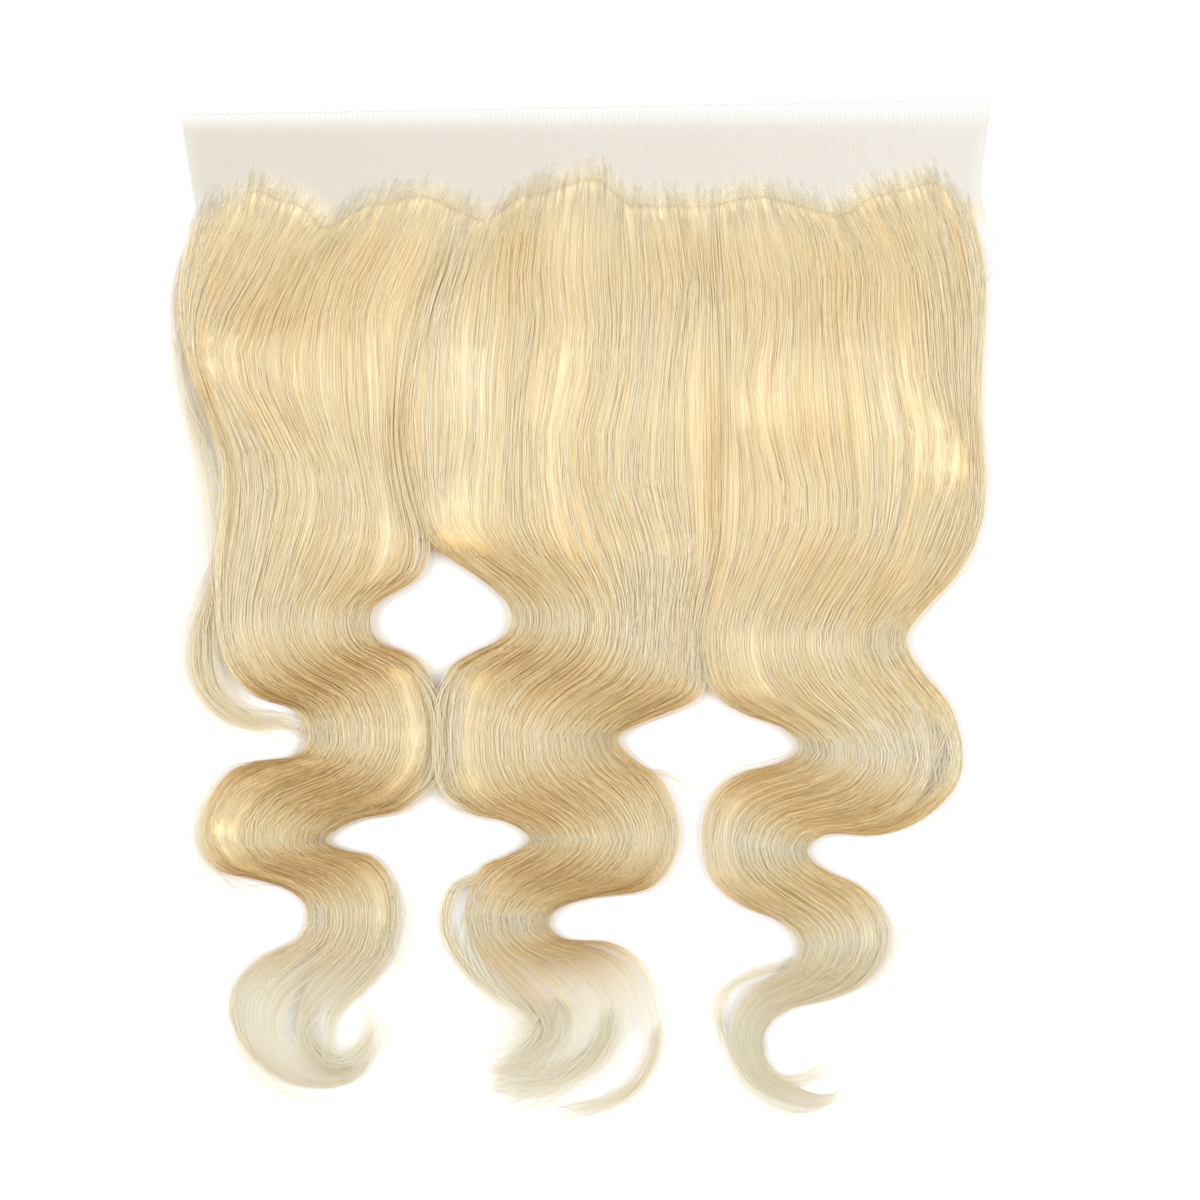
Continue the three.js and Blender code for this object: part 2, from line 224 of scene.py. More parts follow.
fade = nodes.new("ShaderNodeMapRange")
fade.interpolation_type = "SMOOTHSTEP"
links.new(from_edge.outputs["Fac"], fade.inputs["Value"])
sheer = nodes.new("ShaderNodeMath")
sheer.operation = "MULTIPLY"
links.new(cover.outputs["Result"], sheer.inputs[0])
links.new(fade.outputs["Result"], sheer.inputs[1])
links.new(sheer.outputs[0], shader.inputs["Alpha"])
relief = nodes.new("ShaderNodeBump")
relief.inputs["Strength"].default_value = 0.4
relief.inputs["Distance"].default_value = 0.0002
links.new(thread.outputs["Result"], relief.inputs["Height"])
links.new(relief.outputs["Normal"], shader.inputs["Normal"])
lace.data.materials.append(lace_finish)
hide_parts("lace_panel")
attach(lace, "root")

# Left lock
# The left third of the hair. It is a flat bundle of loose hairs, tied one by one to the lace behind the
# hairline and set in deep waves. Its bulk is one body, and the hairs that show are laid over it.
HAIR_HEIGHT = 0.013
SEAT = 0.0013
SHOULDER = 0.3
SCALLOP_REACH = 0.07
FAN_REACH = 0.17  # share of the drop over which the hair fans out from the hairline
# Each row is a section from the lock's left edge to its right edge. The edges are shares of LACE_WIDTH
# across and HAIR_DROP down, the height is a share of HAIR_HEIGHT, and the lips are shares of that.
LEFT_LOCK = np.array([
    (0.021, 0.033, 0.338, 0.005, 0.1, 0.8, 1),
    (0.01, 0.08, 0.318, 0.07, 0.4, 0.3, 1),
    (0.011, 0.13, 0.299, 0.125, 0.65, 0.25, 0.9),
    (0.023, 0.185, 0.282, 0.195, 0.85, 0.2, 0.75),
    (0.045, 0.24, 0.276, 0.26, 0.95, 0.2, 0.55),
    (0.064, 0.295, 0.285, 0.32, 1, 0.2, 0.45),
    (0.062, 0.355, 0.303, 0.377, 0.95, 0.2, 0.3),
    (0.054, 0.4, 0.29, 0.418, 0.85, 0.2, 0.2),
    (0.055, 0.442, 0.241, 0.444, 0.9, 0.2, 0.2),
    (0.056, 0.478, 0.234, 0.472, 0.95, 0.2, 0.2),
    (0.073, 0.52, 0.249, 0.491, 0.85, 0.2, 0.2),
    (0.109, 0.547, 0.276, 0.5, 0.75, 0.2, 0.2),
    (0.152, 0.558, 0.304, 0.52, 0.8, 0.2, 0.2),
    (0.168, 0.589, 0.322, 0.583, 0.85, 0.2, 0.2),
    (0.152, 0.613, 0.31, 0.632, 0.75, 0.2, 0.2),
    (0.106, 0.619, 0.274, 0.668, 0.65, 0.2, 0.2),
    (0.061, 0.638, 0.219, 0.678, 0.65, 0.2, 0.2),
    (0.034, 0.69, 0.179, 0.701, 0.7, 0.2, 0.2),
    (0.057, 0.732, 0.201, 0.715, 0.6, 0.2, 0.2),
    (0.103, 0.744, 0.237, 0.722, 0.5, 0.2, 0.2),
    (0.15, 0.76, 0.262, 0.747, 0.5, 0.2, 0.2),
    (0.164, 0.785, 0.269, 0.788, 0.5, 0.2, 0.2),
    (0.152, 0.812, 0.259, 0.829, 0.4, 0.2, 0.2),
    (0.106, 0.831, 0.235, 0.859, 0.3, 0.2, 0.2),
    (0.074, 0.862, 0.207, 0.883, 0.27, 0.2, 0.2),
    (0.068, 0.892, 0.19, 0.903, 0.24, 0.2, 0.2),
    (0.08, 0.922, 0.189, 0.922, 0.2, 0.2, 0.2),
    (0.104, 0.948, 0.191, 0.936, 0.17, 0.2, 0.2),
    (0.148, 0.97, 0.197, 0.945, 0.14, 0.2, 0.2),
    (0.2, 0.971, 0.208, 0.951, 0.11, 0.2, 0.2),
    (0.229, 0.956, 0.22, 0.947, 0.09, 0.2, 0.2),
    (0.241, 0.932, 0.231, 0.929, 0.07, 0.2, 0.2),
    (0.244, 0.908, 0.239, 0.907, 0.05, 0.2, 0.2),
])
# Where a hair leaves the hairline, and where it has settled once it hangs straight
FAN = np.array([
    (0.024, 0.010),
    (0.091, 0.020),
    (0.152, 0.080),
    (0.274, 0.213),
    (0.395, 0.353),
    (0.517, 0.513),
    (0.639, 0.645),
    (0.760, 0.797),
    (0.860, 0.920),
    (0.930, 0.966),
    (0.965, 0.982),
])
SETTLED_ROW = 2.5
SWAY = 0.011  # share of LACE_WIDTH by which the straight part of the hair bends to and fro


def side_room(u):
    """How far a share across lies from the nearer edge of its lock."""
    return np.clip(np.minimum(u, 1 - u), 0, 0.5)


def risen(at, first_row):
    """How far the hair has risen from the lace to its full height, at rows behind the hairline."""
    return soft_step((at - first_row) / 2.0)


def lay_on_lock(rows, u, at):
    """Places on a lock's rounded top, at shares u across it and fractional rows down it."""
    left_x, left_down, right_x, right_down, height, left_lip, right_lip = smooth_rows(rows, at).T
    across = left_x + (right_x - left_x) * u
    down = left_down + (right_down - left_down) * u
    first = rows[0, 0] + (rows[0, 2] - rows[0, 0]) * u
    settled_row = smooth_rows(rows, np.array([SETTLED_ROW]))[0]
    settled = settled_row[0] + (settled_row[2] - settled_row[0]) * u
    start = np.interp(settled, FAN[:, 1], FAN[:, 0])
    first_down = rows[0, 1] + (rows[0, 3] - rows[0, 1]) * u
    scallop = 1 - soft_step(at / (len(rows) - 1) / SCALLOP_REACH)
    down = down + scallop * (hairline_down(start) - first_down)
    fan = np.clip(1 - np.maximum(down - first_down, 0) / FAN_REACH, 0, 1) ** 2
    across = across + fan * (start - first)
    straight = soft_step(down / 0.1) * (1 - soft_step((down - 0.36) / 0.1))
    bend = np.sin(2 * np.pi * down / 0.3 + 9 * across) + 0.5 * np.sin(2 * np.pi * down / 0.17 - 23 * across)
    across = across + SWAY * straight * bend * soft_step(6 * side_room(u))
    side = np.clip(u, 0, 1)
    rise_left = left_lip + (1 - left_lip) * np.sin(np.pi / 2 * np.minimum(1, side / SHOULDER))
    rise_right = right_lip + (1 - right_lip) * np.sin(np.pi / 2 * np.minimum(1, (1 - side) / SHOULDER))
    return np.stack([
        (across - 0.5) * LACE_WIDTH,
        HAIRLINE_Y - down * HAIR_DROP,
        SEAT + HAIR_HEIGHT * height * rise_left * rise_right,
    ], axis=-1)


def solid(name, points, quads, triangles):
    """Closed mesh from arrays, smooth all over."""
    mesh = bpy.data.meshes.new(name)
    corners = np.concatenate([quads.ravel(), triangles.ravel()]).astype(np.int32)
    starts = np.concatenate([
        np.arange(len(quads)) * 4,
        len(quads) * 4 + np.arange(len(triangles)) * 3,
    ]).astype(np.int32)
    mesh.vertices.add(len(points))
    mesh.vertices.foreach_set("co", points.ravel())
    mesh.loops.add(len(corners))
    mesh.loops.foreach_set("vertex_index", corners)
    mesh.polygons.add(len(starts))
    mesh.polygons.foreach_set("loop_start", starts)
    mesh.polygons.foreach_set("use_smooth", np.ones(len(starts), dtype=bool))
    mesh.update(calc_edges=True)
    mesh.validate()
    piece = bpy.data.objects.new(name, mesh)
    bpy.context.collection.objects.link(piece)
    return piece


def give(piece, name, values):
    """Puts one number at each point of a piece, for its material to read."""
    layer = piece.data.attributes.new(name, "FLOAT", "POINT")
    layer.data.foreach_set("value", np.asarray(values, dtype=np.float32).ravel())


# painted sheen and painted shade, set by the way the hair runs
PAINTED_SHEEN = 0.62
PAINTED_SHEEN_FROM = 0.78  # the square of how straight down the hair runs where painted sheen gives way to painted shade


def painted_sheen(ahead):
    """Painted sheen where the set waves run straight down, and painted shade where they slant."""
    return PAINTED_SHEEN * (ahead[..., 1] ** 2 - PAINTED_SHEEN_FROM)


# Patches of painted shade, where the hair lies deeper or catches less light, and a few of painted light:
# across, down, half widths of both, and tone
PAINTED_LIGHT_AND_SHADE_PATCHES = np.array([
    (0.27, 0.25, 0.018, 0.055, -0.20),
    (0.655, 0.31, 0.010, 0.10, -0.22),
    (0.415, 0.06, 0.030, 0.045, -0.16),
    (0.505, 0.30, 0.010, 0.04, -0.14),
    (0.13, 0.14, 0.10, 0.045, -0.10),
    (0.76, 0.26, 0.07, 0.030, -0.13),
    (0.82, 0.12, 0.10, 0.030, -0.10),
    (0.16, 0.55, 0.10, 0.022, -0.12),
    (0.83, 0.565, 0.08, 0.03, 0.10),
    (0.80, 0.62, 0.15, 0.11, 0.13),
    (0.71, 0.73, 0.10, 0.08, 0.10),
    (0.80, 0.81, 0.08, 0.05, 0.10),
    (0.41, 0.79, 0.06, 0.05, 0.10),
    (0.62, 0.06, 0.06, 0.030, -0.08),
    (0.36, 0.20, 0.03, 0.07, 0.08),
    (0.955, 0.28, 0.025, 0.05, -0.15),
    (0.035, 0.23, 0.02, 0.06, -0.12),
    (0.06, 0.69, 0.02, 0.03, -0.10),
])


def painted_patch_tone(points):
    """Painted shade and painted light at points, from the patches that they lie in."""
    across = points[..., 0] / LACE_WIDTH + 0.5
    down = (HAIRLINE_Y - points[..., 1]) / HAIR_DROP
    total = 0
    for middle_across, middle_down, half_across, half_down, change in PAINTED_LIGHT_AND_SHADE_PATCHES:
        far = ((across - middle_across) / half_across) ** 2 + ((down - middle_down) / half_down) ** 2
        total = total + change * np.exp(-far)
    return total


BULK_ACROSS = 72
BULK_UNDER = 12
BULK_STEP = 0.25  # rows between the bulk's rings
BULK_SUNK = 0.0006  # its top under the hairs laid over it
EDGE_SUNK = 0.0011  # the same again at its free sides
BULK_TONE = 0.40
UNDER_TONE = 0.42
LACE_TOP = 0.00115
LACE_SUNK = 0.0005  # the bulk's first ring under the top of the lace
TABLE_GAP = 0.0002
LACE_ROWS = 5.3  # rows that lie over the lace
TRESS_GROOVE = 0.045


def tress_height(u, at, seed):
    """Relief of the tresses that a lock splits into, from 0 in a groove to 1 on a crest."""
    random = np.random.default_rng(seed)
    relief = 0
    for count, weight in ((4, 0.45), (9, 0.3), (19, 0.25)):
        phase = random.uniform(0, 2 * np.pi, 5)
        bend = 0.5 * np.sin(at * 0.55 + phase[0]) + 0.35 * np.sin(at * 0.21 + phase[1])
        uneven = u + 0.035 * np.sin(10.7 * u + phase[2]) + 0.016 * np.sin(27 * u + phase[3])
        relief = relief + weight * np.abs(np.sin(np.pi * count * uneven + bend + phase[4]))
    return relief


def bulk_of(name, rows, last_row, seed, reach, ash_rows):
    """A lock's bulk: a closed, grooved body that thins to nothing where the loose ends take over."""
    at = np.arange(0, last_row + BULK_STEP / 2, BULK_STEP)
    share = np.linspace(0, 1, BULK_ACROSS)
    thinning = soft_step((last_row - at) / 3.0) * risen(at, 0.6)
    narrow = 0.25 + 0.69 * soft_step((last_row - at) / 3.0)
    low, high = reach(at)
    # neighbours only just meet at the hairline, where the bulk is still sheer
    tucked = 0.3 + 0.7 * soft_step((at - 1) / 1.5)
    low = low * tucked
    high = 1 + (high - 1) * tucked
    centre = (low + high) / 2
    half = (high - low) / 2 * narrow
    u = centre[:, None] + (share[None, :] * 2 - 1) * half[:, None]
    grid_at = np.broadcast_to(at[:, None], u.shape)
    top = lay_on_lock(rows, u.ravel(), grid_at.ravel()).reshape(*u.shape, 3)
    floor_z = np.where(at < LACE_ROWS, LACE_TOP, TABLE_GAP)
    free = soft_step((at - 4) / 3)[:, None]
    sunk = BULK_SUNK + EDGE_SUNK * free * (1 - soft_step(side_room(share) / 0.15))
    body = np.maximum(top[..., 2] - sunk - floor_z[:, None], 0.0003)
    relief = 1 - TRESS_GROOVE * (1 - tress_height(u, grid_at, seed))
    top[..., 2] = floor_z[:, None] + np.maximum(body * relief * thinning[:, None], 0.0001)
    u_under = centre[:, None] + (np.linspace(1, 0, BULK_UNDER)[None, :] * 2 - 1) * half[:, None]
    under_at = np.broadcast_to(at[:, None], u_under.shape)
    under = lay_on_lock(rows, u_under.ravel(), under_at.ravel()).reshape(*u_under.shape, 3)
    under[..., 2] = floor_z[:, None]
    rings = np.concatenate([top, under], axis=1)
    rings[0, :, 2] = LACE_TOP - LACE_SUNK
    count = rings.shape[1]
    ring = np.arange(len(at) - 1)[:, None] * count
    here = np.arange(count)[None, :]
    after = (here + 1) % count
    quads = np.stack([ring + here, ring + count + here, ring + count + after, ring + after], axis=-1)
    middle_first = rings[0].mean(axis=0)
    middle_last = rings[-1].mean(axis=0)
    points = np.concatenate([rings.reshape(-1, 3), [middle_first, middle_last]])
    hub = len(points) - 2
    here = here[0]
    after = after[0]
    last_ring = (len(at) - 1) * count
    triangles = np.concatenate([
        np.stack([here, after, np.full(count, hub)], axis=-1),
        np.stack([last_ring + after, last_ring + here, np.full(count, hub + 1)], axis=-1),
    ])
    piece = solid(name, points, quads.reshape(-1, 4), triangles)
    give(piece, "across", np.append(np.concatenate([u, u_under], axis=1).ravel(), [0.5, 0.5]))
    along = np.broadcast_to(at[:, None], (len(at), count)).ravel()
    give(piece, "along", np.append(along, [at[0], at[-1]]))
    run = np.gradient(rings, axis=0)
    run /= np.linalg.norm(run, axis=2, keepdims=True)
    tone = np.full(rings.shape[:2], UNDER_TONE)
    # painted shade in the grooves between the tresses, lighter on their crests
    tone[:, :BULK_ACROSS] = BULK_TONE + 0.14 * tress_height(u, grid_at, seed)
    # painted shade along the sides of the bulk, against the lamps' highlights there
    tone[:, :BULK_ACROSS] -= 0.14 * (1 - soft_step(side_room(share) / 0.16))
    # painted light near the hairline, against the shade at the start of the bulk
    tone = tone + 0.1 * (1 - soft_step(at / 2))[:, None]
    # painted sheen and shade from the run of the hair, and painted patches of light and shade
    tone = (tone + painted_sheen(run) + painted_patch_tone(rings)).ravel()
    give(piece, "tone", np.append(tone, [0.3, 0.3]))
    ash = 0.9 * soft_step((along - ash_rows[0]) / (ash_rows[1] - ash_rows[0]))
    give(piece, "ash", np.append(ash, [1, 1]))
    whole_along = soft_step((last_row - at) / 4.0) * soft_step((at + 0.08) / 0.65)
    whole = np.repeat(whole_along[:, None], count, axis=1)
    whole[:, BULK_ACROSS:] = whole_along[:, None] ** 8
    give(piece, "whole", np.append(whole, [0, 0]))
    return piece


HAIR_SHADES = (
    (0.0, (0.42, 0.24, 0.07)),
    (0.3, (0.76, 0.53, 0.22)),
    (0.55, (0.97, 0.78, 0.45)),
    (0.8, (1.0, 0.89, 0.63)),
    (1.0, (1.0, 0.95, 0.79)),
)
ASH_SHADE = (1.0, 0.96, 0.79)
BULK_STREAKS = 330  # across a lock

# blonde shades, from a hair's own tone and from how ashen it is
shade_group = bpy.data.node_groups.new("blonde shades", "ShaderNodeTree")
shade_group.interface.new_socket("Tone", in_out="INPUT", socket_type="NodeSocketFloat")
shade_group.interface.new_socket("Ash", in_out="INPUT", socket_type="NodeSocketFloat")
shade_group.interface.new_socket("Base Color", in_out="OUTPUT", socket_type="NodeSocketColor")
given = shade_group.nodes.new("NodeGroupInput")
shades = shade_group.nodes.new("ShaderNodeValToRGB")
while len(shades.color_ramp.elements) < len(HAIR_SHADES):
    shades.color_ramp.elements.new(0.5)
for stop, (position, shade) in zip(shades.color_ramp.elements, HAIR_SHADES):
    stop.position = position
    stop.color = (*shade, 1)
shade_group.links.new(given.outputs["Tone"], shades.inputs["Fac"])
ashen = shade_group.nodes.new("ShaderNodeMix")
ashen.data_type = "RGBA"
ashen.inputs["B"].default_value = (*ASH_SHADE, 1)
shade_group.links.new(given.outputs["Ash"], ashen.inputs["Factor"])
shade_group.links.new(shades.outputs["Color"], ashen.inputs["A"])
result = shade_group.nodes.new("NodeGroupOutput")
shade_group.links.new(ashen.outputs["Result"], result.inputs["Base Color"])


def hair_finish(name, roughness, gloss):
    """A hair material whose colour comes from the points of its piece."""
    finish = bpy.data.materials.new(name)
    finish.use_nodes = True
    nodes = finish.node_tree.nodes
    links = finish.node_tree.links
    shader = nodes["Principled BSDF"]
    shader.inputs["Roughness"].default_value = roughness
    shader.inputs["Specular IOR Level"].default_value = gloss
    blonde = nodes.new("ShaderNodeGroup")
    blonde.name = "blonde"
    blonde.node_tree = shade_group
    for attribute, socket in (("tone", "Tone"), ("ash", "Ash")):
        own = nodes.new("ShaderNodeAttribute")
        own.name = attribute
        own.attribute_name = attribute
        links.new(own.outputs["Fac"], blonde.inputs[socket])
    links.new(blonde.outputs["Base Color"], shader.inputs["Base Color"])
    return finish


strand_finish = hair_finish("blonde strands", 0.45, 0.3)

# the bulk's finish also has fine streaks along the hair, in shade and relief, and ends in streaks
bulk_finish = hair_finish("blonde bulk", 0.7, 0.1)
nodes = bulk_finish.node_tree.nodes
links = bulk_finish.node_tree.links
shader = nodes["Principled BSDF"]
flow = nodes.new("ShaderNodeCombineXYZ")
for attribute, socket in (("across", "X"), ("along", "Y")):
    own = nodes.new("ShaderNodeAttribute")
    own.attribute_name = attribute
    links.new(own.outputs["Fac"], flow.inputs[socket])
stretch = nodes.new("ShaderNodeMapping")
stretch.inputs["Scale"].default_value = (BULK_STREAKS, 0.35, 1)
links.new(flow.outputs["Vector"], stretch.inputs["Vector"])
noise = nodes.new("ShaderNodeTexNoise")
noise.inputs["Scale"].default_value = 1
noise.inputs["Detail"].default_value = 3
links.new(stretch.outputs["Vector"], noise.inputs["Vector"])
spread = nodes.new("ShaderNodeMapRange")
spread.inputs["From Min"].default_value = 0.25
spread.inputs["From Max"].default_value = 0.75
spread.inputs["To Min"].default_value = -0.18
spread.inputs["To Max"].default_value = 0.3
links.new(noise.outputs["Fac"], spread.inputs["Value"])
both = nodes.new("ShaderNodeMath")
both.operation = "ADD"
links.new(nodes["tone"].outputs["Fac"], both.inputs[0])
links.new(spread.outputs["Result"], both.inputs[1])
links.new(both.outputs[0], nodes["blonde"].inputs["Tone"])
relief = nodes.new("ShaderNodeBump")
relief.inputs["Strength"].default_value = 0.4
relief.inputs["Distance"].default_value = 0.0002
links.new(noise.outputs["Fac"], relief.inputs["Height"])
links.new(relief.outputs["Normal"], shader.inputs["Normal"])
whole = nodes.new("ShaderNodeAttribute")
whole.attribute_name = "whole"
thick = nodes.new("ShaderNodeMath")
thick.operation = "MULTIPLY"
thick.inputs[1].default_value = 1.5
links.new(whole.outputs["Fac"], thick.inputs[0])
left_over = nodes.new("ShaderNodeMath")
left_over.operation = "SUBTRACT"
links.new(thick.outputs[0], left_over.inputs[0])
links.new(noise.outputs["Fac"], left_over.inputs[1])
cover = nodes.new("ShaderNodeMapRange")
cover.inputs["From Max"].default_value = 0.35
links.new(left_over.outputs[0], cover.inputs["Value"])
links.new(cover.outputs["Result"], shader.inputs["Alpha"])


def left_reach(at):
    """The left lock's bulk goes a little under its neighbour as long as they lie together."""
    together = 1 - soft_step((at - 4) / 2)
    return np.zeros_like(at), 1 + 0.10 * together


LEFT_ASH = (19.5, 24.5)  # rows between which the hair turns ashen
left_bulk = bulk_of("left_bulk", LEFT_LOCK, 24.0, 11, left_reach, LEFT_ASH)
left_bulk.data.materials.append(bulk_finish)
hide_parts("left_lock")
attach(left_bulk, "root")

MAP_ROWS = 4  # rows of strips in a hair piece's map


def hair_piece(name, lines, widths, tones, ashes):
    """One closed mesh of many hairs, each a thin three-sided tube along its own line."""
    counts = np.array([len(line) for line in lines])
    centre = np.concatenate(lines)
    width = np.concatenate(widths)[:, None]
    ends = np.cumsum(counts)
    begins = ends - counts
    ahead = np.empty_like(centre)
    ahead[1:-1] = centre[2:] - centre[:-2]
    ahead[begins] = centre[begins + 1] - centre[begins]
    ahead[ends - 1] = centre[ends - 1] - centre[ends - 2]
    ahead /= np.linalg.norm(ahead, axis=1, keepdims=True)
    side = np.cross(ahead, (0.0, 0.0, 1.0))
    side /= np.linalg.norm(side, axis=1, keepdims=True)
    up = np.cross(side, ahead)
    ring = [
        centre + width * (0.5 * side - 0.25 * up),
        centre + width * 0.5 * up,
        centre - width * (0.5 * side + 0.25 * up),
    ]
    points = np.stack(ring, axis=1).reshape(-1, 3)
    joined = np.ones(len(centre), dtype=bool)
    joined[ends - 1] = False
    ring_at = np.nonzero(joined)[0]
    strand_of = np.repeat(np.arange(len(lines)), counts)
    quads = []
    for k in range(3):
        after = (k + 1) % 3
        quads.append(np.stack([
            3 * ring_at + k, 3 * ring_at + 3 + k, 3 * ring_at + 3 + after, 3 * ring_at + after,
        ], axis=-1))
    first = 3 * begins
    last = 3 * (ends - 1)
    triangles = np.concatenate([
        np.stack([first, first + 1, first + 2], axis=-1),
        np.stack([last + 2, last + 1, last], axis=-1),
    ])
    piece = solid(name, points, np.concatenate(quads), triangles)
    give(piece, "tone", np.repeat(np.concatenate(tones), 3))
    give(piece, "ash", np.repeat(np.concatenate(ashes), 3))

    # each hair has its own three strips of the map, so that nothing in it overlaps
    per_row = math.ceil(len(lines) / MAP_ROWS)
    column = (strand_of % per_row) * 3
    row = strand_of // per_row
    place_along = np.arange(len(centre)) - begins[strand_of]
    share = place_along / (counts[strand_of] - 1)
    corner_maps = []
    strip = 1 / (3 * per_row)
    for k in range(3):
        low_u = (column[ring_at] + k + 0.1) * strip
        high_u = (column[ring_at] + k + 0.9) * strip
        low_v = (row[ring_at] + 0.01 + 0.98 * share[ring_at]) / MAP_ROWS
        high_v = (row[ring_at] + 0.01 + 0.98 * share[ring_at + 1]) / MAP_ROWS
        corner_maps.append(np.stack([
            np.stack([low_u, low_v], axis=-1),
            np.stack([low_u, high_v], axis=-1),
            np.stack([high_u, high_v], axis=-1),
            np.stack([high_u, low_v], axis=-1),
        ], axis=1).reshape(-1, 2))
    for rim in (begins, ends - 1):
        base_u = (column[rim] + 0.5) * strip
        base_v = (row[rim] + 0.01 + 0.98 * share[rim]) / MAP_ROWS
        tiny = 0.25 * strip
        corner_maps.append(np.stack([
            np.stack([base_u, base_v], axis=-1),
            np.stack([base_u + tiny, base_v], axis=-1),
            np.stack([base_u, base_v + 0.002], axis=-1),
        ], axis=1).reshape(-1, 2))
    hair_map = piece.data.uv_layers.new(name="OFBake")
    hair_map.data.foreach_set("uv", np.concatenate(corner_maps).ravel().astype(np.float32))
    piece.data.materials.append(strand_finish)
    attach(piece, "root")


def drift(random, count, owner, at, slow, fast):
    """A gentle wandering along each hair, about zero."""
    total = np.zeros(len(at))
    for beat, weight in ((slow, 0.6), ((slow + fast) / 2, 0.3), (fast, 0.15)):
        phase = random.uniform(0, 2 * np.pi, count)
        tempo = random.uniform(0.8, 1.25, count) * beat
        total += weight * np.sin(at * tempo[owner] + phase[owner])
    return total


HAIR_STEP = 0.66  # rows between the points of a hair
EDGE_STEP = 0.36  # the same for the hairs that outline a lock
EDGE_SHARE = 0.07  # of a lock's width, which these hairs take at each side
HAIR_WIDTHS = (0.00011, 0.00021)
HAIR_TONE = 0.68
TRESSES = 17
ROOT_JITTER = (-0.009, 0.009)
RESTLESS_SHARE = 0.07  # of the hairs, which stray from the rest
DEEP_SHARE = 0.25  # of the hairs, which start behind the hairline, from under the rest
DEEP_START = 0.0030  # how far under their place they start
LOW_ON_LACE = 0.00125  # the least height of a hair over the lace
LOW_ON_TABLE = 0.0004  # and over the table


def eased(line, first_of, last_of):
    """Rounds the sharp bends of hairs that are joined in one array, end points kept."""
    inner = np.ones(len(line), dtype=bool)
    inner[first_of] = False
    inner[last_of] = False
    smooth = line.copy()
    smooth[1:-1] = 0.14 * line[:-2] + 0.72 * line[1:-1] + 0.14 * line[2:]
    return np.where(inner[:, None], smooth, line)


def on_table(places):
    """Shares across and down, as metres on the table."""
    return np.stack([(places[:, 0] - 0.5) * LACE_WIDTH, HAIRLINE_Y - places[:, 1] * HAIR_DROP], axis=-1)


def open_slit(line, route, gap, reach):
    """Pushes hairs aside along the route of a slit, most at its middle."""
    share = np.linspace(0, 1, 40)
    middle = on_table(smooth_rows(route, share * (len(route) - 1)))
    away = line[:, None, :2] - middle[None]
    distance = np.linalg.norm(away, axis=2)
    nearest = distance.argmin(axis=1)
    index = np.arange(len(line))
    distance = distance[index, nearest]
    push = gap / 2 * np.sin(np.pi * share[nearest]) * np.clip(1 - distance / reach, 0, 1)
    line[:, :2] += away[index, nearest] / np.maximum(distance, 1e-6)[:, None] * push[:, None]


